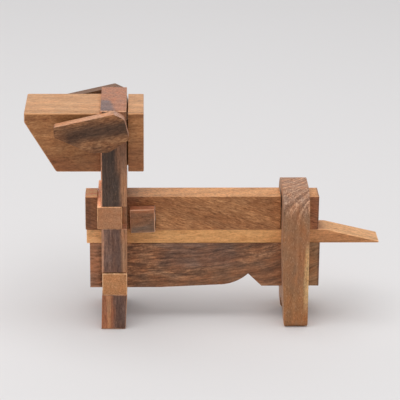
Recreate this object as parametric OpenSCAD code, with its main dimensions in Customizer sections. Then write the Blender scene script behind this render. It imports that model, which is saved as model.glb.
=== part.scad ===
// Wooden interlocking dog puzzle: a long-bodied dog built from notched hardwood
// sticks. Three bars stacked one on another make the body, the middle one runs
// on as the tail. A front arch carries the head and the ears, a board with a
// window goes round the body as the hind legs, and two C keys and a cross peg
// lock the body.
//
// Units millimetres. X runs from nose to tail, Y across the dog, Z up.
// Origin on the floor, midway along the length, in the plane of symmetry.

/* [Body bars] */
// Half of the depth of the upper and lower body beams
body_half = 6.9; // [6:0.1:8]
// Nose-side end of the upper beam
upper_x0 = -60.9; // [-64:0.1:-57]
// Tail-side end of the upper beam
upper_x1 = 59.1; // [57:0.1:63]
// Underside of the upper beam above the floor
upper_z0 = 50.0; // [48:0.1:52]
// Top of the upper beam above the floor
upper_z1 = 68.0; // [67.5:0.1:70]
// Nose-side end of the lower beam
lower_x0 = -58.8; // [-61:0.1:-56]
// Tail-side end of the lower beam
lower_x1 = 60.1; // [57:0.1:63]
// Underside of the lower beam at its nose-side end
lower_z0 = 17.9; // [16:0.1:18.2]
// Underside of the lower beam at its tail-side end
lower_tail_z0 = 18.5; // [18:0.1:19]
// Top of the lower beam above the floor
lower_z1 = 42.4; // [40:0.1:44]
// Where the underside of the lower beam begins to thin out
thin_x = -22.0; // [-30:0.5:-15]
// Where the belly sweep begins
belly_x0 = 8.0; // [4:0.1:10]
// Height at which the belly sweep begins
belly_z0 = 19.3; // [19:0.1:19.8]
// Radius of the belly sweep
belly_r = 22.0; // [20:0.5:30]
// Peak of the belly cut along the body
belly_x1 = 23.2; // [20:0.1:26]
// Tail-side end of the belly cut
belly_x2 = 30.3; // [28:0.1:36]

/* [Tail bar] */
// Half of the depth of the tail bar
tail_half = 6.7; // [5.5:0.1:7]
// Nose-side end of the tail bar
tail_x0 = -60.4; // [-63:0.1:-57]
// Where the top of the tail begins to slope down
tail_x1 = 63.0; // [60:0.1:70]
// Tip of the tail
tail_tip = 90.7; // [80:0.1:96]
// Blunt height left at the tip
tail_tip_h = 0.8; // [0.4:0.1:3]
// Running gap above and below the tail bar
tail_gap = 0.1; // [0.05:0.05:0.3]

/* [Front arch] */
// Nose-side face of the front legs
front_x0 = -52.4; // [-53:0.1:-51]
// Thickness of the front arch along the body
front_t = 12.9; // [12.7:0.1:13.2]
// Half of the width over the front legs
front_half = 20.5; // [18:0.1:24]
// Height of the front arch
front_h = 118.4; // [117:0.1:120]
// Depth of the crosspiece at the top of the front arch
front_bridge = 9.0; // [5:0.5:14]
// How much narrower the front feet are at the floor, taken off their tail side
front_taper = 0.9; // [0:0.1:1.5]
// How far the front feet lean to the nose at the floor
front_lean = 0.5; // [0:0.1:1]

/* [Hind board] */
// Nose-side face of the hind board
hind_x0 = 40.0; // [38:0.1:44]
// Thickness of the hind board along the body
hind_t = 13.4; // [10:0.1:14]
// Half of the width of the hind board
hind_half = 19.0; // [17:0.1:23]
// Height of the hind board
hind_h = 73.1; // [71:0.1:80]
// Radius of the shoulders of the hind board
hind_r = 13.0; // [6:0.5:18]
// Top of the window that the body runs through
window_z1 = 60.0; // [56:0.1:64]
// Height below which the nose side of the hind board slopes in to the feet
slope_z = 40.0; // [20:0.5:60]
// How far that slope goes in at the floor
hind_taper = 1.6; // [0:0.1:2.5]
// How far the tail side of the hind feet leans out at the floor
hind_lean = 0.5; // [0:0.1:1]
// Rounding of the bottom corners, seen from the side of the dog
foot_r = 1.6; // [0.5:0.1:3]
// Rounding of the bottom corners, seen from the tail
hind_foot_r = 3.0; // [0.5:0.1:6]
// Half of the width of the low arch between the hind feet
hind_arch_half = 8.5; // [6:0.1:8.9]
// Height of the low arch between the hind feet
hind_arch_h = 7.0; // [4:0.1:10]
// Rounding of the upper corners of that arch
hind_arch_r = 3.0; // [1:0.1:4]
// Depth of the housing cut in each side of the upper beam
housing = 1.3; // [0.8:0.1:2]
// Running gap between the hind board and the body beams
hind_gap = 0.15; // [0.1:0.05:0.3]
// Play of the hind board along the body in the notch of the upper beam
board_play = 0.65; // [0.2:0.05:1]

/* [Keys and peg] */
// Nose-side face of the upper key
ukey_x0 = -54.5; // [-55:0.1:-53.5]
// Underside of the upper key
ukey_z0 = 55.5; // [53:0.1:55.8]
// Nose-side face of the lower key
lkey_x0 = -52.2; // [-53:0.1:-51.5]
// Underside of the lower key
lkey_z0 = 19.2; // [18.6:0.1:21]
// Thickness of the keys along the body
key_t = 12.6; // [10:0.1:12.8]
// Height of the keys
key_h = 12.0; // [11:0.1:12.2]
// Thickness of the web that joins the two prongs of a key
key_web = 5.9; // [4:0.1:7]
// Depth of the prongs across the body
key_prong = 7.0; // [5:0.1:9]
// Space above the upper key in its notches
ukey_play = 0.2; // [0.1:0.1:1]
// Space above the lower key in its notches
lkey_play = 0.6; // [0.1:0.1:1]
// Side of the square cross peg
peg_side = 12.8; // [10:0.1:13]
// Length of the cross peg
peg_len = 24.6; // [20:0.1:30]
// Centre of the cross peg along the body
peg_x = -31.6; // [-33:0.1:-30]
// Tilt of the cross peg in its notch
peg_tilt = 2.0; // [0:0.5:4]
// Gap round the cross peg in its notch
peg_gap = 0.15; // [0.1:0.05:0.4]

/* [Head and ears] */
// Half of the depth of the head
head_half = 17.0; // [15:0.1:19]
// Tip of the nose
head_x0 = -90.4; // [-95:0.1:-84]
// Back of the head
head_x1 = -30.9; // [-34:0.1:-28]
// Underside of the head
head_z0 = 85.1; // [82:0.1:88]
// Top of the head
head_z1 = 115.8; // [113:0.1:116]
// Height of the blunt nose above the chin slope
nose_h = 4.7; // [3:0.1:8]
// Length of the chin slope
chin = 15.5; // [10:0.1:20]
// Running gap between the head and the front arch
head_gap = 0.15; // [0.1:0.05:0.3]
// Extra width of the neck groove behind the leg
groove_play = 0.75; // [0.1:0.05:1]
// Thickness of an ear
ear_t = 6.3; // [4:0.1:8]

/* [Hidden] */
$fn = 96;

// Straight steps in each rounded corner of an ear
corner_steps = 8;

front_x1 = front_x0 + front_t;
// Reach of the tilted peg's corners from its middle
peg_reach = (cos(peg_tilt) + sin(peg_tilt)) * peg_side / 2;
peg_z = upper_z0 + peg_reach;
// Height of the peak of the belly cut
belly_top = belly_z0 + belly_r - sqrt(pow(belly_r, 2) - pow(belly_x1 - belly_x0, 2));

// Points of an outline with each corner turned into an arc of its own radius.
function rounded(corners, radii) = [
    for (i = [0 : len(corners) - 1])
        let (n = len(corners), v = corners[i],
             u = unit(corners[(i + n - 1) % n] - v), w = unit(corners[(i + 1) % n] - v),
             half = acos(u * w) / 2, centre = v + unit(u + w) * radii[i] / sin(half),
             start = v + u * radii[i] / tan(half) - centre,
             turn = 180 - 2 * half, way = sign(u[1] * w[0] - u[0] * w[1]))
        for (k = [0 : corner_steps])
            centre + turned(start, way * turn * k / corner_steps)];

function unit(v) = v / norm(v);

function turned(v, a) = [v[0] * cos(a) - v[1] * sin(a), v[0] * sin(a) + v[1] * cos(a)];

// A block given by its two opposite corners.
module block(x0, x1, y0, y1, z0, z1) {
    translate([x0, y0, z0]) cube([x1 - x0, y1 - y0, z1 - z0]);
}

// The same block on both sides of the plane of symmetry.
module pair(x0, x1, y0, y1, z0, z1) {
    block(x0, x1, y0, y1, z0, z1);
    block(x0, x1, -y1, -y0, z0, z1);
}

// A profile drawn in X and Z, carried through Y.
module across(y0, y1) {
    translate([0, y1, 0]) rotate([90, 0, 0]) linear_extrude(height = y1 - y0) children();
}

// A profile drawn in Y and Z, carried along X.
module along(x0, x1) {
    translate([x0, 0, 0]) rotate([90, 0, 90]) linear_extrude(height = x1 - x0) children();
}

module head_block() color([0.50, 0.31, 0.20]) difference() {
    across(-head_half, head_half) polygon([
        [head_x0, head_z1], [head_x0, head_z1 - nose_h],
        [head_x0 + chin, head_z0], [head_x1, head_z0], [head_x1, head_z1]]);
    // neck grooves in both sides, the legs of the front arch run in them
    pair(front_x0 - head_gap, front_x1 + groove_play, body_half - head_gap, head_half + 1,
         head_z0 - 1, head_z1 + 1);
    // housing for the crosspiece of the front arch
    block(front_x0 - head_gap, front_x1 + groove_play, -head_half - 1, head_half + 1,
          front_h - front_bridge - head_gap, head_z1 + 1);
}

module front_arch() color([0.30, 0.22, 0.18]) difference() {
    // upright legs on feet that lean to the nose a little
    across(-front_half, front_half) polygon([
        [front_x0 - front_lean, 0], [front_x1, 0], [front_x1, front_h],
        [front_x0, front_h], [front_x0, lkey_z0]]);
    block(front_x0 - 1, front_x1 + 1, -body_half, body_half, -1, front_h - front_bridge);
    // notches for the upper key, cut across the outer faces and the nose side
    pair(front_x0 - 1, front_x1 + 1, front_half - key_prong, front_half + 1,
         ukey_z0, ukey_z0 + key_h + ukey_play);
    pair(front_x0 - 1, ukey_x0 + key_web, body_half - 1, front_half,
         ukey_z0, ukey_z0 + key_h + ukey_play);
    // notches for the lower key
    pair(front_x0 - 1, front_x1 + 1, front_half - key_prong, front_half + 1,
         lkey_z0, lkey_z0 + key_h + lkey_play);
    pair(front_x0 - 1, lkey_x0 + key_web, body_half - 1, front_half,
         lkey_z0, lkey_z0 + key_h + lkey_play);
    // the feet narrow a little towards the floor
    across(-front_half - 1, front_half + 1) polygon([
        [front_x1, lkey_z0], [front_x1 - front_taper, 0], [front_x1 - front_taper, -1],
        [front_x1 + 1, -1], [front_x1 + 1, lkey_z0]]);
}

// Outline of a hanging ear: a blunt point to the nose, broad at the back of the head.
module ear_outline() {
    polygon(rounded([[-75.3, 111.6], [-45.7, 118.4], [-40.6, 116.0], [-38.0, 105.5],
                     [-48.4, 98.5], [-57.6, 98.5], [-75.3, 106.6]],
                    [1.0, 1.0, 3.0, 2.0, 6.0, 8.0, 1.5]));
}

module near_ear() color([0.42, 0.30, 0.22])
    across(-front_half - ear_t, -front_half) ear_outline();

module far_ear() color([0.42, 0.30, 0.22])
    across(front_half, front_half + ear_t) ear_outline();

module upper_beam() color([0.46, 0.27, 0.18]) difference() {
    block(upper_x0, upper_x1, -body_half, body_half, upper_z0, upper_z1);
    // open notch on top for the web of the upper key
    block(ukey_x0 - 0.1, ukey_x0 + key_web + 0.1, -body_half - 1, body_half + 1,
          ukey_z0, upper_z1 + 1);
    // notch in the underside for the cross peg, as tilted as the peg is
    tilted() block(-peg_side / 2 - peg_gap, peg_side / 2 + peg_gap, -body_half - 1, body_half + 1,
                   -peg_side / 2 - 2, peg_side / 2 + peg_gap);
    // notch on top and housings in the sides for the hind board
    block(hind_x0 - board_play, hind_x0 + hind_t + board_play, -body_half - 1, body_half + 1,
          window_z1, upper_z1 + 1);
    pair(hind_x0 - board_play, hind_x0 + hind_t + board_play, body_half - housing, body_half + 1,
         upper_z0 - 1, upper_z1 + 1);
}

module tail_bar() color([0.72, 0.50, 0.30])
    across(-tail_half, tail_half) polygon([
        [tail_x0, lower_z1 + tail_gap], [tail_tip, lower_z1 + tail_gap],
        [tail_tip, lower_z1 + tail_gap + tail_tip_h],
        [tail_x1, upper_z0 - tail_gap], [tail_x0, upper_z0 - tail_gap]]);

module lower_beam() color([0.38, 0.25, 0.19]) difference() {
    block(lower_x0, lower_x1, -body_half, body_half, lower_z0, lower_z1);
    // notch in the underside for the web of the lower key
    block(lkey_x0 - 0.1, lkey_x0 + key_web + 0.1, -body_half - 1, body_half + 1,
          lower_z0 - 1, lkey_z0 + key_h);
    // the underside thins out, sweeps up into the belly cut and drops straight behind it
    across(-body_half - 1, body_half + 1) difference() {
        polygon([[thin_x, lower_z0], [belly_x0, belly_z0], [belly_x0, belly_top], [belly_x1, belly_top],
                 [belly_x2, lower_tail_z0], [lower_x1 + 1, lower_tail_z0],
                 [lower_x1 + 1, lower_z0 - 1], [thin_x, lower_z0 - 1]]);
        translate([belly_x0, belly_z0 + belly_r]) circle(r = belly_r, $fn = 240);
    }
}

// A square stick across the dog with the middle of its rear side cut away.
module key(x0, z0) difference() {
    block(x0, x0 + key_t, -front_half, front_half, z0, z0 + key_h);
    block(x0 + key_web, x0 + key_t + 1, -front_half + key_prong, front_half - key_prong,
          z0 - 1, z0 + key_h + 1);
}

module upper_key() color([0.55, 0.38, 0.27]) key(ukey_x0, ukey_z0);

module lower_key() color([0.62, 0.40, 0.24]) key(lkey_x0, lkey_z0);

// Turns with the cross peg about its middle.
module tilted() {
    translate([peg_x, 0, peg_z]) rotate([0, -peg_tilt, 0]) children();
}

module cross_peg() color([0.36, 0.26, 0.20])
    tilted() cube([peg_side, peg_len, peg_side], center = true);

// The face of the hind board as it is seen from the tail: round shoulders, soft bottom corners.
module hind_face() {
    square_top = hind_h - hind_r;
    translate([-hind_half, hind_foot_r]) square([2 * hind_half, square_top - hind_foot_r]);
    translate([-hind_half + hind_r, hind_foot_r]) square([2 * (hind_half - hind_r), hind_h - hind_foot_r]);
    translate([-hind_half + hind_foot_r, 0]) square([2 * (hind_half - hind_foot_r), square_top]);
    for (s = [-1, 1]) {
        translate([s * (hind_half - hind_r), square_top]) circle(r = hind_r);
        translate([s * (hind_half - hind_foot_r), hind_foot_r]) circle(r = hind_foot_r);
    }
}

// The low arch between the hind feet, open to the floor.
module hind_arch() {
    translate([-hind_arch_half, -1]) square([2 * hind_arch_half, hind_arch_h - hind_arch_r + 1]);
    translate([-hind_arch_half + hind_arch_r, -1])
        square([2 * (hind_arch_half - hind_arch_r), hind_arch_h + 1]);
    for (s = [-1, 1])
        translate([s * (hind_arch_half - hind_arch_r), hind_arch_h - hind_arch_r])
            circle(r = hind_arch_r, $fn = 48);
}

// The edge of the hind board as it is seen from the side of the dog.
module hind_edge() {
    foot_x0 = hind_x0 + hind_taper;
    hull() {
        translate([hind_x0, slope_z]) square([hind_t, hind_h + 1 - slope_z]);
        for (x = [foot_x0 + foot_r, hind_x0 + hind_t + hind_lean - foot_r])
            translate([x, foot_r]) circle(r = foot_r, $fn = 32);
    }
}

module hind_board() color([0.50, 0.33, 0.24]) difference() {
    intersection() {
        along(hind_x0, hind_x0 + hind_t + hind_lean) hind_face();
        across(-hind_half - 1, hind_half + 1) hind_edge();
    }
    // the window: the lower beam and the tail bar run through its lower part
    block(hind_x0 - 1, hind_x0 + hind_t + 1, -body_half - hind_gap, body_half + hind_gap,
          lower_tail_z0 - hind_gap, upper_z0 + 0.2);
    along(hind_x0 - 1, hind_x0 + hind_t + 1) hind_arch();
    // higher up the window closes in on the housings of the upper beam
    block(hind_x0 - 1, hind_x0 + hind_t + 1, -body_half + housing - hind_gap,
          body_half - housing + hind_gap, lower_tail_z0, window_z1);
}

head_block();
front_arch();
near_ear();
far_ear();
upper_beam();
tail_bar();
lower_beam();
upper_key();
lower_key();
cross_peg();
hind_board();
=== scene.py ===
"""Looks of the wooden interlocking dog puzzle: sanded sticks of several hardwoods on a pale floor."""

import math

import bpy
import numpy as np
from mathutils import Matrix, Vector


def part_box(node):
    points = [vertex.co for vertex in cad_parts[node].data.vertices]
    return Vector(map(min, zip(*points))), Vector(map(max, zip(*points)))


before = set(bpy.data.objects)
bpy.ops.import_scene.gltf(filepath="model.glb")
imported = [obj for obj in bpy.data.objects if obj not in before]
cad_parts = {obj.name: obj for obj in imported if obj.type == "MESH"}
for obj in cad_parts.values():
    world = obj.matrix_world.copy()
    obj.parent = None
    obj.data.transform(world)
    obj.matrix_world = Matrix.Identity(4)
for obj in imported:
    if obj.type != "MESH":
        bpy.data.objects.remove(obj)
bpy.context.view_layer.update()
MM = 0.001


# ---------------------------------------------------------------- colours

def srgb(red, green, blue, gain=1.0):
    """A colour given as it looks on screen, 0 to 255, as the linear value that a shader takes."""
    def linear(c):
        c /= 255.0
        return c / 12.92 if c <= 0.04045 else ((c + 0.055) / 1.055) ** 2.4
    return (linear(red) * gain, linear(green) * gain, linear(blue) * gain, 1.0)


# Upright faces get about 0.63 of the light that a white card would need to look white.
UPRIGHT = 1 / 0.63


def tone(red, green, blue):
    """The wood whose upright face looks this colour, 0 to 255, under the studio light."""
    return srgb(red, green, blue, UPRIGHT)


# ---------------------------------------------------------------- node graphs

class Graph:
    """Short calls that add and link shader nodes. A value may be a number, a colour or a socket."""

    def __init__(self, tree):
        self.tree = tree
        self.tree.nodes.clear()

    def put(self, kind, inputs=(), **settings):
        made = self.tree.nodes.new(kind)
        for key, value in settings.items():
            setattr(made, key, value)
        for key, value in dict(inputs).items():
            self.feed(made.inputs[key], value)
        return made

    def feed(self, socket, value):
        if isinstance(value, bpy.types.NodeSocket):
            self.tree.links.new(value, socket)
        else:
            socket.default_value = value

    def math(self, operation, a, b=0.0):
        return self.put("ShaderNodeMath", {0: a, 1: b}, operation=operation).outputs[0]

    def vector(self, operation, a, b=(0.0, 0.0, 0.0)):
        return self.put("ShaderNodeVectorMath", {0: a, 1: b}, operation=operation).outputs[0]

    def dot(self, a, b):
        made = self.put("ShaderNodeVectorMath", {0: a, 1: b}, operation="DOT_PRODUCT")
        return made.outputs["Value"]

    def noise(self, place, detail=2.0, roughness=0.5, seed=0.0):
        """Noise from 0 to 1 at a place already scaled to the size of the pattern."""
        shifted = self.vector("ADD", place, (seed, seed * 0.7, -seed))
        made = self.put("ShaderNodeTexNoise", {"Vector": shifted, "Scale": 1.0, "Detail": detail,
                                               "Roughness": roughness}, noise_dimensions="3D")
        return made.outputs["Fac"]

    def line_noise(self, along, detail):
        """Noise from 0 to 1 that changes with one number only."""
        made = self.put("ShaderNodeTexNoise", {"W": along, "Scale": 1.0, "Detail": detail},
                        noise_dimensions="1D")
        return made.outputs["Fac"]

    def step(self, value, start, end):
        """Smooth step from 0 at start to 1 at end."""
        return self.put("ShaderNodeMapRange", {"Value": value, "From Min": start, "From Max": end},
                        interpolation_type="SMOOTHSTEP").outputs[0]

    def swing(self, value, weight):
        """Noise turned into a swing about zero, as wide as its weight."""
        return self.math("MULTIPLY", self.math("SUBTRACT", value, 0.5), weight)

    def ramp(self, value, stops):
        """The colour between the stops, each a pair (value, colour)."""
        made = self.put("ShaderNodeValToRGB", {0: value})
        elements = made.color_ramp.elements
        while len(elements) < len(stops):
            elements.new(0.5)
        for element, (place, colour) in zip(elements, stops):
            element.position = place
            element.color = colour
        return made.outputs["Color"]

    def mix(self, amount, a, b, blend="MIX"):
        made = self.put("ShaderNodeMix", {0: amount, 6: a, 7: b}, data_type="RGBA", blend_type=blend)
        return made.outputs[2]


# ---------------------------------------------------------------- wood

# Sizes of the patterns in millimetres: (along the grain, across it).
BEND_SIZE = (24, 9)
FIBRE_SIZE = (5, 0.36)
GRIT_SIZE = (1.0, 0.6)
ZONE_EDGE_SIZE = (14, 3)
PATCH_SIZE = (9, 4)
FLECK_SIZE = (1.3, 0.45)
WEAR_AND_HIGHLIGHT_SIZE = (9, 2)

# What the figure multiplies a zone's colour by, from its darkest level to its lightest.
ZONE_SHADES = [(0.0, (0.46, 0.44, 0.42, 1)), (0.5, (1, 1, 1, 1)), (1.0, (1.54, 1.58, 1.64, 1))]
# Broad patches are a little redder or greyer than the rest.
PATCH_TINTS = [(0.3, (1.14, 0.98, 0.84, 1)), (0.5, (1, 1, 1, 1)), (0.7, (0.86, 0.97, 1.10, 1))]
PORE_SHADE = (0.40, 0.32, 0.27, 1)

FIGURE_GAIN = 4.0       # noise stays near its middle, so every part of the figure is widened
LEAST_WEAR_AND_HIGHLIGHT = 0.35       # how much wear and painted highlight an edge has where it has least
EDGE_FADE = 0.12        # how fast the pale colour of wear and painted highlight comes in where the face turns
LEVEL_RELIEF = 0.3      # light wood stands proud
PORE_RELIEF = 0.8       # pores are sunk
RELIEF_DEPTH = 0.12 * MM


def grain_turn(grain):
    """Euler angles that turn the grain's direction onto X."""
    along = Vector(grain).normalized()
    side = Vector((0, 0, 1)).cross(along)
    if side.length < 0.1:
        side = Vector((0, 1, 0))
    side.normalize()
    up = along.cross(side)
    return Matrix((along, side, up)).to_euler()


def scaled(g, place, length, width):
    """A place measured in pattern sizes: length along the grain, width across it."""
    return g.vector("MULTIPLY", place, (1 / length, 1 / width, 1 / width))


def bent(g, turned, look):
    """Grain is never straight: the place shifts across the grain, more slowly along it.

    sweep (start, rate) makes it rise more and more past start, as it does near a branch."""
    shifted = g.vector("ADD", scaled(g, turned, *BEND_SIZE), (look["seed"],) * 3)
    noise = g.put("ShaderNodeTexNoise", {"Vector": shifted, "Scale": 1.0, "Detail": 2.0},
                  noise_dimensions="3D")
    shift = g.vector("SUBTRACT", noise.outputs["Color"], (0.5, 0.5, 0.5))
    widest = look["bend"] * 2
    wavy = g.vector("ADD", turned, g.vector("MULTIPLY", shift, (0.0, widest, widest)))
    if not look["sweep"]:
        return wavy
    start, rate = look["sweep"]
    along = g.put("ShaderNodeSeparateXYZ", {0: turned}).outputs[0]
    past = g.math("MAXIMUM", g.math("SUBTRACT", along, start), 0.0)
    drop = g.math("MULTIPLY", g.math("MULTIPLY", past, past), -rate)
    return g.vector("ADD", wavy, g.put("ShaderNodeCombineXYZ", {"Z": drop}).outputs[0])


def figure(g, grain_place, look):
    """How light the wood is, 0 to 1: year rings about the pith, streaks, dashes, fibres and grit."""
    seed = look["seed"]
    pith_y, pith_z = look["pith"]
    cross = g.vector("MULTIPLY", g.vector("SUBTRACT", grain_place, (0, pith_y, pith_z)), (0, 1, 1))
    radius = g.put("ShaderNodeVectorMath", {0: cross}, operation="LENGTH").outputs["Value"]
    parts = (
        (g.line_noise(g.math("DIVIDE", radius, look["ring"]), 2.5), look["rings"]),
        (g.noise(scaled(g, grain_place, *look["streak_size"]), 3.0, 0.6, seed + 3), look["streaks"]),
        (g.noise(scaled(g, grain_place, *look["dash_size"]), 2.0, 0.5, seed + 5), look["dashes"]),
        (g.noise(scaled(g, grain_place, *FIBRE_SIZE), 2.0, 0.6, seed + 7), look["fibres"]),
        (g.noise(scaled(g, grain_place, *GRIT_SIZE), 1.0, 0.5, seed + 13), look["grit"]),
    )
    level = 0.5
    for part, weight in parts:
        level = g.math("ADD", level, g.swing(part, weight * FIGURE_GAIN))
    return level


def zone(colour, *limits, wander=2.0, facing=None, amount=1.0, figured=1.0):
    """Wood of another colour, past every limit (direction, start, end) in millimetres.

    The limits wander to and fro by wander. facing (direction, start, end) keeps the zone to the
    faces that look that way. figured is how much of the figure shows in it."""
    return dict(colour=colour, limits=limits, wander=wander, facing=facing, amount=amount,
                figured=figured)


def zoned(g, colour, place, normal, grain_place, level, look):
    """Lays the zones over the wood's own colour, each over the ones before it."""
    shade = g.ramp(level, ZONE_SHADES)
    wave = g.noise(scaled(g, grain_place, *ZONE_EDGE_SIZE), 3.0, 0.6, look["seed"] + 11)
    for area in look["zones"]:
        amount = area["amount"]
        for direction, start, end in area["limits"]:
            distance = g.math("ADD", g.dot(place, direction), g.swing(wave, area["wander"] * 2.0))
            amount = g.math("MULTIPLY", amount, g.step(distance, start, end))
        if area["facing"]:
            direction, start, end = area["facing"]
            amount = g.math("MULTIPLY", amount, g.step(g.dot(normal, direction), start, end))
        laid = g.mix(area["figured"], area["colour"], shade, "MULTIPLY")
        colour = g.mix(amount, colour, laid)
    return colour


def worn_and_highlit_edges(g, colour, normal, grain_place, look):
    """Sanded edges are paler, unevenly: partly wear, partly a painted highlight. On them the normal points
    along no axis of the piece.

    A piece cut round about one axis has flat faces along that axis and round ones across it."""
    size = g.put("ShaderNodeVectorMath", {0: normal}, operation="ABSOLUTE").outputs[0]
    parts = list(g.put("ShaderNodeSeparateXYZ", {0: size}).outputs)
    if look["round_about"]:
        flat = parts["XYZ".index(look["round_about"])]
        parts = [flat, g.math("SQRT", g.math("SUBTRACT", 1.0, g.math("MULTIPLY", flat, flat)))]
    biggest = parts[0]
    for part in parts[1:]:
        biggest = g.math("MAXIMUM", biggest, part)
    edge = g.step(g.math("SUBTRACT", 1.0, biggest), look["edge_from"], look["edge_from"] + EDGE_FADE)
    wear_and_highlight_noise = g.noise(scaled(g, grain_place, *WEAR_AND_HIGHLIGHT_SIZE), 2.0, 0.5, look["seed"] + 23)
    patchy = g.step(wear_and_highlight_noise, 0.30, 0.62)
    amount = g.math("MULTIPLY", g.math("ADD", LEAST_WEAR_AND_HIGHLIGHT, patchy), look["wear_and_highlight"])
    return g.mix(g.math("MULTIPLY", edge, amount), colour, look["edge"])


def wood(name, **own):
    """Solid wood, measured in millimetres. tones run from the darkest wood to the lightest."""
    look = {**WOOD, **own}
    seed = look["seed"]
    material = bpy.data.materials.new(name)
    material.use_nodes = True
    g = Graph(material.node_tree)
    coordinates = g.put("ShaderNodeTexCoord")
    normal = coordinates.outputs["Normal"]
    place = g.vector("MULTIPLY", coordinates.outputs["Object"], (1 / MM,) * 3)
    turned = g.put("ShaderNodeMapping", {"Vector": place, "Rotation": grain_turn(look["grain"])}).outputs[0]
    grain_place = bent(g, turned, look)

    level = figure(g, grain_place, look)
    tones = look["tones"]
    colour = g.ramp(level, [(i / (len(tones) - 1), shade) for i, shade in enumerate(tones)])
    colour = zoned(g, colour, place, normal, grain_place, level, look)

    patch = g.noise(scaled(g, grain_place, *PATCH_SIZE), 2.0, 0.5, seed + 31)
    tint = g.ramp(patch, PATCH_TINTS)
    colour = g.mix(look["patches"], colour, g.mix(1.0, colour, tint, "MULTIPLY"))

    pore = g.step(g.noise(scaled(g, grain_place, *look["pore_size"]), 1.0, 0.4, seed + 19), 0.58, 0.70)
    colour = g.mix(g.math("MULTIPLY", pore, look["pores"]), colour,
                   g.mix(1.0, colour, PORE_SHADE, "MULTIPLY"))
    fleck = g.step(g.noise(scaled(g, grain_place, *FLECK_SIZE), 1.0, 0.4, seed + 37), 0.58, 0.72)
    colour = g.mix(g.math("MULTIPLY", fleck, look["flecks"]), colour, look["edge"])
    colour = worn_and_highlit_edges(g, colour, normal, grain_place, look)

    relief = g.math("SUBTRACT", g.math("MULTIPLY", level, LEVEL_RELIEF),
                    g.math("MULTIPLY", pore, PORE_RELIEF))
    bump = g.put("ShaderNodeBump", {"Height": relief, "Strength": 0.4, "Distance": RELIEF_DEPTH})
    rough = g.math("ADD", look["roughness"], g.swing(level, -0.12))
    shader = g.put("ShaderNodeBsdfPrincipled", {"Base Color": colour, "Roughness": rough,
                                                "Normal": bump.outputs[0]})
    shader.inputs["IOR"].default_value = 1.45
    shader.inputs["Specular IOR Level"].default_value = 0.35
    out = g.put("ShaderNodeOutputMaterial")
    g.feed(out.inputs["Surface"], shader.outputs[0])
    return material


# ---------------------------------------------------------------- places and directions

NOSE = (-1, 0, 0)
TAIL = (1, 0, 0)
ABOVE = (0, 0, 1)
BELOW = (0, 0, -1)
NEAR = (0, -1, 0)
SQUARE_TO_EAR = (-0.187, 0, 0.982)    # up, at right angles to the slope of the ears
UNDER_EAR = (0.187, 0, -0.982)

# Faces that look up, for a zone's facing: the first leaves the rounded edges out.
UP = (ABOVE, 0.55, 0.9)
UP_AND_ROUND = (ABOVE, 0.3, 0.7)


def reach(node, direction):
    """How far a piece reaches in a direction, in millimetres."""
    low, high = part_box(node)
    return sum(max(d * a, d * b) for d, a, b in zip(direction, low, high)) / MM


LEG_NOSE_SIDE = reach("front_arch", NOSE)
LEG_TAIL_SIDE = reach("front_arch", TAIL)
UPPER_KEY_TOP = reach("upper_key", ABOVE)
UPPER_KEY_FOOT = -reach("upper_key", BELOW)
LOWER_KEY_FOOT = -reach("lower_key", BELOW)
UPPER_BEAM_NOSE = reach("upper_beam", NOSE)
UPPER_BEAM_TAIL = reach("upper_beam", TAIL)
LOWER_BEAM_TAIL = reach("lower_beam", TAIL)
BOARD_TAIL_SIDE = reach("hind_board", TAIL)

# Zone limits that more than one zone uses.
ABOVE_THE_FOOT = (ABOVE, LOWER_KEY_FOOT - 0.7, LOWER_KEY_FOOT + 0.3)
IN_THE_FOOT = (BELOW, -LOWER_KEY_FOOT - 0.3, -LOWER_KEY_FOOT + 0.7)
BEFORE_THE_LEG = (NOSE, LEG_NOSE_SIDE - 2.9, LEG_NOSE_SIDE + 1.1)
BEHIND_THE_BOARD = (TAIL, BOARD_TAIL_SIDE - 0.9, BOARD_TAIL_SIDE + 2.1)


# ---------------------------------------------------------------- the wood of each piece

# What a piece has unless it says otherwise. Lengths are in millimetres, and rings, streaks, dashes,
# fibres and grit are how strongly each shows.
WOOD = dict(
    grain=(1, 0, 0), bend=1.2, sweep=None, seed=0.0,
    pith=(45, 30), ring=4.0, rings=0.12,
    streaks=0.16, streak_size=(16, 1.3),
    dashes=0.16, dash_size=(3.0, 0.8),
    fibres=0.16, grit=0.12,
    zones=(), patches=0.5, flecks=0.08,
    pores=0.4, pore_size=(1.8, 0.40),
    # edge is the pale colour on rounded edges, partly wear and partly a painted highlight
    edge=tone(196, 150, 112), wear_and_highlight=0.6, edge_from=0.035, round_about=None,
    roughness=0.5,
)

# A key is cut across the stick, so its near face is end grain: gritty, with hardly any streaks.
KEY = dict(
    grain=(0, 1, 0), bend=0.6, streaks=0.08, dashes=0.08, dash_size=(2.0, 1.0), grit=0.24,
    patches=0.4,
)

HEAD_WOOD = dict(
    tones=[tone(98, 58, 33), tone(139, 93, 56), tone(174, 126, 84)],
    grain=(1, 0, 0.03), seed=1.0, rings=0.14, streaks=0.18, streak_size=(12, 1.2),
    zones=[
        # darker towards the throat and the jaw
        zone(tone(126, 81, 50), ((0.3, 0, -1), -116.0, -104.0), wander=5.0, amount=0.8),
        zone(tone(122, 74, 44), ((-0.5, 0, -1), -59.0, -52.0), wander=4.0, amount=0.8),
        # top, painted lighter as lit from above
        zone(tone(160, 117, 80), facing=UP),
    ],
    patches=0.35, pores=0.5, edge=tone(190, 138, 94),
)

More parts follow.
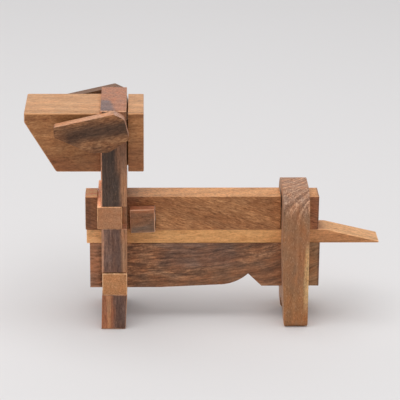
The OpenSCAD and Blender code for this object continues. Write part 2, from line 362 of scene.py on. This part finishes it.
ARCH_WOOD = dict(
    tones=[tone(62, 43, 36), tone(94, 68, 57), tone(132, 100, 84)],
    grain=(0, 0, 1), bend=0.8, seed=2.0, streaks=0.28, streak_size=(18, 0.9),
    zones=[
        # nearly black heartwood from the upper key to the head
        zone(tone(66, 51, 42), (ABOVE, UPPER_KEY_TOP - 7.5, UPPER_KEY_TOP - 4.5),
             (NOSE, LEG_NOSE_SIDE - 12.3, LEG_NOSE_SIDE - 8.1), wander=1.2),
        # pale strips down the nose side, between the keys and above them
        zone(tone(150, 108, 84), (NOSE, LEG_NOSE_SIDE - 2.0, LEG_NOSE_SIDE - 1.1), ABOVE_THE_FOOT,
             (BELOW, -UPPER_KEY_FOOT - 1.5, -UPPER_KEY_FOOT + 0.5), wander=0.5),
        zone(tone(180, 126, 94), (NOSE, LEG_NOSE_SIDE - 1.3, LEG_NOSE_SIDE - 0.8),
             (ABOVE, UPPER_KEY_TOP - 1.0, UPPER_KEY_TOP + 1.0), wander=0.3),
        # sapwood down the tail side, wider and duller higher up
        zone(tone(146, 103, 73), (TAIL, LEG_TAIL_SIDE - 4.3, LEG_TAIL_SIDE - 1.7), ABOVE_THE_FOOT,
             wander=1.0),
        zone(tone(122, 85, 62), (TAIL, LEG_TAIL_SIDE - 6.9, LEG_TAIL_SIDE - 4.1),
             (ABOVE, 82.0, 90.0), wander=1.0),
        # foot: reddish on the nose side, with a light streak
        zone(tone(138, 85, 57), (NOSE, LEG_NOSE_SIDE - 8.1, LEG_NOSE_SIDE - 4.9), IN_THE_FOOT,
             wander=1.4),
        zone(tone(172, 122, 84), (NOSE, LEG_NOSE_SIDE - 5.5, LEG_NOSE_SIDE - 4.5),
             (TAIL, LEG_TAIL_SIDE - 10.9, LEG_TAIL_SIDE - 9.9), IN_THE_FOOT, wander=1.4, amount=0.6),
        # strap over the head, its top painted lighter as lit from above, with a dark patch at its near
        # corner
        zone(tone(138, 91, 67), facing=UP),
        zone(tone(98, 77, 72), ((-1, -0.15, 0), 47.0, 49.4), (NEAR, 0.0, 5.0), facing=UP, wander=1.0),
    ],
    # pale edges: partly wear, partly a painted highlight
    patches=0.7, edge=tone(176, 132, 102), wear_and_highlight=0.8,
)

NEAR_EAR_WOOD = dict(
    tones=[tone(64, 36, 22), tone(108, 70, 43), tone(156, 112, 76)],
    grain=(1, 0, 0.20), seed=3.0, rings=0.16, streaks=0.22, dashes=0.32,
    zones=[
        # dark band along the upper half
        zone(tone(70, 47, 32), (SQUARE_TO_EAR, 111.2, 116.4), (UNDER_EAR, -123.4, -119.0),
             (TAIL, -76.0, -66.0), wander=2.4),
        # rim, and the long slope on top of it, both painted paler as lit from above
        zone(tone(150, 112, 92), facing=((0.15, 0, 0.99), 0.0, 0.3)),
        zone(tone(162, 115, 84), facing=((-0.22, 0, 0.975), 0.9, 0.97)),
    ],
    pores=0.5, flecks=0.03, edge=tone(206, 162, 126), wear_and_highlight=0.7, edge_from=0.06, round_about="Y",
)

FAR_EAR_WOOD = dict(
    tones=[tone(60, 40, 28), tone(92, 64, 46), tone(124, 90, 66)],
    grain=(1, 0, 0.20), seed=4.0,
    zones=[zone(tone(92, 62, 40), facing=((0.15, 0, 0.99), 0.0, 0.3))],    # rim
    wear_and_highlight=0.3, edge_from=0.06, round_about="Y",
)

UPPER_BEAM_WOOD = dict(
    tones=[tone(94, 56, 31), tone(139, 92, 56), tone(178, 128, 84)],
    grain=(1, 0, -0.32), bend=0.9, seed=5.0, rings=0.10, streaks=0.14, streak_size=(10, 1.0),
    dashes=0.30, dash_size=(3.6, 0.6),
    zones=[
        # darker over the peg and at the nose, most of all at its very end, and redder at the tail
        zone(tone(116, 73, 46), ((-1, 0, 1.2), 106.0, 118.0), wander=4.0),
        zone(tone(124, 82, 54), BEFORE_THE_LEG),
        zone(tone(106, 70, 48), (NOSE, UPPER_BEAM_NOSE - 3.3, UPPER_BEAM_NOSE - 2.3),
             wander=0.3, amount=0.8),
        zone(tone(135, 84, 54), BEHIND_THE_BOARD),
        # top, painted lighter as lit from above, with a painted highlight that makes it lighter still at
        # the nose
        zone(tone(166, 117, 74), facing=UP),
        zone(tone(250, 194, 136), (NOSE, LEG_NOSE_SIDE - 2.4, LEG_NOSE_SIDE - 0.4),
             facing=UP_AND_ROUND),
        # the saw's dark line at the tail end
        zone(tone(88, 59, 45), (TAIL, UPPER_BEAM_TAIL - 1.1, UPPER_BEAM_TAIL - 0.3),
             wander=0.3, amount=0.7),
    ],
    patches=0.35, pores=0.75, pore_size=(2.4, 0.38), edge=tone(206, 152, 110),
)

TAIL_WOOD = dict(
    tones=[tone(142, 93, 51), tone(174, 123, 74), tone(203, 151, 97)],
    grain=(1, 0, 0.05), seed=6.0, rings=0.2, streaks=0.24, dashes=0.2,
    zones=[
        # browner towards the tail, lighter at the nose end
        zone(tone(158, 108, 69), (TAIL, 30.0, 66.0), wander=6.0),
        zone(tone(196, 148, 100), BEFORE_THE_LEG),
        # the sloping top of the tail, painted paler as lit from above
        zone(tone(174, 128, 85), (TAIL, 60.0, 63.0), facing=((0.15, 0, 0.98), 0.8, 0.95)),
    ],
    patches=0.2, pores=0.3, edge=tone(216, 172, 128),
)

LOWER_BEAM_WOOD = dict(
    tones=[tone(54, 34, 24), tone(112, 76, 52), tone(180, 130, 92)],
    grain=(1, 0, 0.04), bend=2.2, sweep=(-16.0, 0.0020), seed=7.0, ring=2.6, rings=0.44,
    streaks=0.40, streak_size=(20, 1.2),
    zones=[
        # greyer in the middle, browner along the belly
        zone(tone(98, 72, 59), (TAIL, -30.0, -14.0), (NOSE, -26.0, -10.0), (ABOVE, 26.0, 32.0),
             wander=4.0, amount=0.7),
        zone(tone(115, 79, 55), ((0.229, 0, -0.973), -28.5, -23.5), wander=3.0, amount=0.7),
        # the two ends
        zone(tone(148, 104, 76), (NOSE, LEG_NOSE_SIDE - 0.9, LEG_NOSE_SIDE + 3.1)),
        zone(tone(128, 93, 63), BEHIND_THE_BOARD),
        # the saw's dark line at the tail end
        zone(tone(88, 62, 48), (TAIL, LOWER_BEAM_TAIL - 1.3, LOWER_BEAM_TAIL - 0.4),
             wander=0.3, amount=0.7),
    ],
    patches=0.9, edge=tone(150, 108, 80),
)

UPPER_KEY_WOOD = dict(
    KEY, tones=[tone(126, 81, 54), tone(149, 102, 70), tone(170, 124, 90)], seed=8.0,
    # its top is a painted highlight, far paler than the key's face
    zones=[zone(tone(250, 186, 140), facing=UP_AND_ROUND)],    # top
    edge=tone(196, 150, 104),
)

LOWER_KEY_WOOD = dict(
    KEY, tones=[tone(126, 78, 46), tone(158, 108, 68), tone(188, 138, 96)], seed=9.0, rings=0.14,
    # pale edges: partly wear, partly a painted highlight
    edge=tone(222, 178, 136), wear_and_highlight=0.8,
)

PEG_WOOD = dict(
    tones=[tone(78, 50, 34), tone(124, 84, 57), tone(160, 116, 84)],
    grain=(1, 0, 0.06), bend=1.6, seed=10.0, rings=0.18, streaks=0.24, dashes=0.2,
    zones=[
        # darker at the foot, redder at the top, and the top face painted paler as lit from above
        zone(tone(94, 72, 56), ((0.5, 0, -1), -74.0, -68.0), wander=2.0),
        zone(tone(142, 92, 62), (ABOVE, 60.0, 61.5), wander=1.5),
        zone(tone(146, 94, 68), facing=UP),
    ],
    # pale edges: partly wear, partly a painted highlight
    patches=0.9, edge=tone(206, 158, 126), wear_and_highlight=0.65,
)

BOARD_WOOD = dict(
    tones=[tone(86, 60, 45), tone(131, 96, 75), tone(188, 150, 122)],
    grain=(0.03, 0, 1), bend=0.7, seed=11.0, pith=(28, -18.7), ring=1.5, rings=0.24,
    streaks=0.2, streak_size=(9, 1.0), dashes=0.18, dash_size=(2.0, 0.8), grit=0.2,
    zones=[
        # calmer below the shoulder, yellower towards the foot
        zone(tone(132, 91, 61), (BELOW, -70.0, -56.0), wander=5.0, figured=0.4),
        zone(tone(136, 92, 57), (BELOW, -30.0, -16.0), wander=4.0, figured=0.5),
        # strip of sapwood down the tail side
        zone(tone(166, 131, 90), (TAIL, BOARD_TAIL_SIDE - 3.1, BOARD_TAIL_SIDE - 1.5),
             (BELOW, -50.0, -38.0), (ABOVE, 6.0, 20.0), wander=0.9),
        # nose side, painted paler as lit from that side
        zone(tone(158, 122, 96), facing=(NOSE, 0.6, 0.9)),
    ],
    patches=0.8, flecks=0.12, pores=0.5, pore_size=(1.2, 0.45),
    # pale edges: partly wear, partly a painted highlight
    edge=tone(232, 192, 156), wear_and_highlight=0.9, edge_from=0.05, round_about="X", roughness=0.62,
)

WOODS = {
    "head_block": HEAD_WOOD,
    "front_arch": ARCH_WOOD,
    "near_ear": NEAR_EAR_WOOD,
    "far_ear": FAR_EAR_WOOD,
    "upper_beam": UPPER_BEAM_WOOD,
    "tail_bar": TAIL_WOOD,
    "lower_beam": LOWER_BEAM_WOOD,
    "upper_key": UPPER_KEY_WOOD,
    "lower_key": LOWER_KEY_WOOD,
    "cross_peg": PEG_WOOD,
    "hind_board": BOARD_WOOD,
}


# ---------------------------------------------------------------- edges

# How far each piece's outer edges are sanded round, in millimetres.
OUTER_RADIUS = {
    "head_block": 0.7, "front_arch": 1.0, "near_ear": 0.9, "far_ear": 0.9, "upper_beam": 0.5,
    "tail_bar": 0.45, "lower_beam": 0.6, "upper_key": 0.6, "lower_key": 0.6, "cross_peg": 0.7,
    "hind_board": 2.0,
}
INNER_RADIUS = 0.2
BOARD_NOSE_SIDE = 0.4    # the part of its radius that the hind board has on its nose side
SHARP = math.cos(math.radians(25))    # faces turned apart by more than this angle make an edge
SAME_PLACE = 0.01 * MM
IN_ONE_PLANE = 0.02 * MM


def edge_weights(mesh, inner):
    """1 on the edges of the piece's outer shape, inner on the edges of its notches, 0 on flat faces.

    An edge is outer when nothing of the piece stands past either of its two faces."""
    points = np.array([v.co for v in mesh.vertices])
    names = [tuple(p) for p in np.round(points / SAME_PLACE).astype(int)]
    normals = {}
    for polygon in mesh.polygons:
        for a, b in polygon.edge_keys:
            normals.setdefault(frozenset((names[a], names[b])), []).append(np.array(polygon.normal))
    weights = []
    for edge in mesh.edges:
        a, b = edge.vertices
        around = normals.get(frozenset((names[a], names[b])), [])
        if len(around) < 2 or min(n @ around[0] for n in around) > SHARP:
            weights.append(0.0)
            continue
        outer = all((points @ n).max() < points[a] @ n + IN_ONE_PLANE for n in around)
        weights.append(1.0 if outer else inner)
    return weights


def spare_nose_side(node, weights):
    """Lowers the weights of the edges on a piece's nose side, which is sanded less."""
    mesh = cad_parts[node].data
    middle = (reach(node, TAIL) - reach(node, NOSE)) / 2 * MM
    for i, edge in enumerate(mesh.edges):
        if all(mesh.vertices[v].co.x < middle for v in edge.vertices):
            weights[i] *= BOARD_NOSE_SIDE


def soften(obj, weights, radius):
    """Rounds each edge by its weight: outer edges by the radius, the edges of notches much less."""
    mesh = obj.data
    layer = mesh.attributes.new("bevel_weight_edge", "FLOAT", "EDGE")
    layer.data.foreach_set("value", weights)
    for polygon in mesh.polygons:
        polygon.use_smooth = True
    weld = obj.modifiers.new("weld", "WELD")
    weld.merge_threshold = 0.001 * MM
    bevel = obj.modifiers.new("sanded edges", "BEVEL")
    bevel.limit_method = "WEIGHT"
    bevel.width = radius * MM
    bevel.segments = 4
    normals = obj.modifiers.new("flat faces", "WEIGHTED_NORMAL")
    normals.keep_sharp = False


def finish_piece(name):
    """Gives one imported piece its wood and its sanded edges."""
    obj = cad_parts[name]
    material = wood(name + "_wood_look", **WOODS[name])
    obj.data.materials.clear()
    obj.data.materials.append(material)
    weights = edge_weights(obj.data, INNER_RADIUS / OUTER_RADIUS[name])
    if name == "hind_board":
        spare_nose_side(name, weights)
    soften(obj, weights, OUTER_RADIUS[name])


# ---------------------------------------------------------------- stage

FLOOR_HALF = 30.0
FLOOR_COLOUR = (0.76, 0.75, 0.755, 1)


def make_floor():
    """A plain pale floor, wide enough to fill every view."""
    mesh = bpy.data.meshes.new("floor")
    corners = [(x * FLOOR_HALF, y * FLOOR_HALF, 0) for x, y in ((-1, -1), (1, -1), (1, 1), (-1, 1))]
    mesh.from_pydata(corners, [], [(0, 1, 2, 3)])
    floor = bpy.data.objects.new("floor", mesh)
    bpy.context.scene.collection.objects.link(floor)
    material = bpy.data.materials.new("pale_floor")
    material.use_nodes = True
    g = Graph(material.node_tree)
    shader = g.put("ShaderNodeBsdfPrincipled")
    shader.inputs["Base Color"].default_value = FLOOR_COLOUR
    shader.inputs["Roughness"].default_value = 0.9
    shader.inputs["Specular IOR Level"].default_value = 0.1
    out = g.put("ShaderNodeOutputMaterial")
    g.feed(out.inputs["Surface"], shader.outputs[0])
    mesh.materials.append(material)


def area_light(name, place, target, size, power):
    """A square light of the given side, turned from its place to the target."""
    data = bpy.data.lights.new(name, "AREA")
    data.shape = "SQUARE"
    data.size = size
    data.energy = power
    light = bpy.data.objects.new(name, data)
    light.location = place
    light.rotation_euler = (Vector(target) - Vector(place)).to_track_quat("-Z", "Y").to_euler()
    bpy.context.scene.collection.objects.link(light)


ROOM_LEVEL = 0.40    # light from the room all round
BACK_LEVEL = 1.05    # light from low down behind
ROOM_COLOUR = (1.0, 0.99, 0.985, 1)


def make_room():
    """A pale room, brighter low down behind the dog, as a white wall with a window would be."""
    world = bpy.data.worlds.new("studio")
    bpy.context.scene.world = world
    world.use_nodes = True
    g = Graph(world.node_tree)
    towards = g.put("ShaderNodeTexCoord").outputs["Generated"]
    parts = g.put("ShaderNodeSeparateXYZ", {0: towards})
    behind = g.step(parts.outputs[1], 0.25, 0.85)
    low = g.math("SUBTRACT", 1.0, g.step(parts.outputs[2], 0.40, 0.75))
    glow = g.math("MULTIPLY", g.math("MULTIPLY", behind, low), BACK_LEVEL - ROOM_LEVEL)
    level = g.math("ADD", glow, ROOM_LEVEL)
    background = g.put("ShaderNodeBackground", {"Strength": level})
    background.inputs["Color"].default_value = ROOM_COLOUR
    out = g.put("ShaderNodeOutputWorld")
    g.feed(out.inputs["Surface"], background.outputs[0])


SOFTBOX_PLACE = (-0.15, -0.30, 1.6)
SOFTBOX_TARGET = (0, 0, 0.05)
SOFTBOX_SIZE = 1.7
SOFTBOX_POWER = 22.0


def make_light():
    make_room()
    area_light("top_softbox", SOFTBOX_PLACE, SOFTBOX_TARGET, SOFTBOX_SIZE, SOFTBOX_POWER)
    bpy.context.scene.view_settings.view_transform = "Standard"


CAMERA_PLACE = (-0.0307, -0.900, 0.3973)
CAMERA_TURN = -1.83     # degrees, to the tail
CAMERA_DOWN = 20.33     # degrees below level
CAMERA_ROLL = 0.54      # degrees
CAMERA_LENS = 167.5     # millimetres, on a sensor 36 mm wide


def make_camera():
    """Camera before the near side, a little above, turned a little to the tail."""
    data = bpy.data.cameras.new("camera")
    data.lens = CAMERA_LENS
    data.sensor_width = 36.0
    data.clip_end = 100.0
    camera = bpy.data.objects.new("camera", data)
    turn = Matrix.Rotation(math.radians(CAMERA_TURN), 4, "Z")
    down = Matrix.Rotation(math.radians(90 - CAMERA_DOWN), 4, "X")
    roll = Matrix.Rotation(math.radians(CAMERA_ROLL), 4, "Z")
    camera.matrix_world = Matrix.Translation(CAMERA_PLACE) @ turn @ down @ roll
    bpy.context.scene.collection.objects.link(camera)
    bpy.context.scene.camera = camera


for node_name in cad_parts:
    finish_piece(node_name)
make_floor()
make_light()
make_camera()

bpy.context.view_layer.update()
